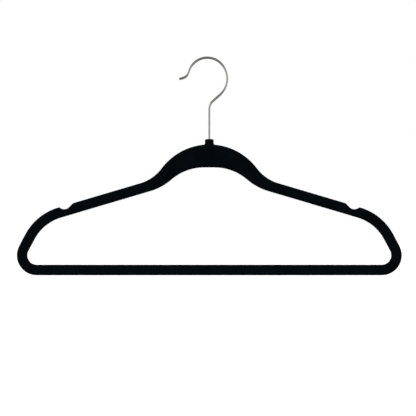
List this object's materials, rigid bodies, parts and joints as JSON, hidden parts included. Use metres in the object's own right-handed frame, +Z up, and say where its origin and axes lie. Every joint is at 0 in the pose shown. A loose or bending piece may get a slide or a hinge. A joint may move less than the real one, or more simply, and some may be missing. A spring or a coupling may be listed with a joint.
{
  "type": "clothes hanger",
  "caption": "Slim flocked suit hanger with a raised crown, strap notches, a built-in trouser bar and a swivel wire hook.",
  "frame": {"origin": "the point of the hook that rests on a rail: the inside of the wire's crown, straight above the neck, on the swivel axis", "axes": "+Z up along the swivel axis, +X along the trouser bar towards the side away from the hook's mouth, +Y square to the faces, towards the back"},
  "size_m": [0.445, 0.01, 0.2529],
  "materials": {
    "hook_chrome": "bright nickel-chrome plating on steel wire, polished",
    "spring_steel": "plain hardened spring steel, lightly oiled",
    "bush_steel": "zinc-plated turned steel",
    "core_plastic": "moulded black plastic, matt",
    "black_flock": "short upright fibre pile, velvet-like, deep black with a faint sheen at grazing angles"
  },
  "bodies": {
    "hook": {"hook_wire": "hook_chrome", "retaining_ring": "spring_steel"},
    "frame": {"frame_core": "core_plastic", "neck_bush": "bush_steel", "flock_coat": "black_flock"}
  },
  "joints": [
    {"name": "hook_swivel", "type": "hinge", "parent": "hook", "child": "frame", "pos_m": [0, 0, -0.1], "axis": [0, 0, 1], "continuous": true}
  ]
}
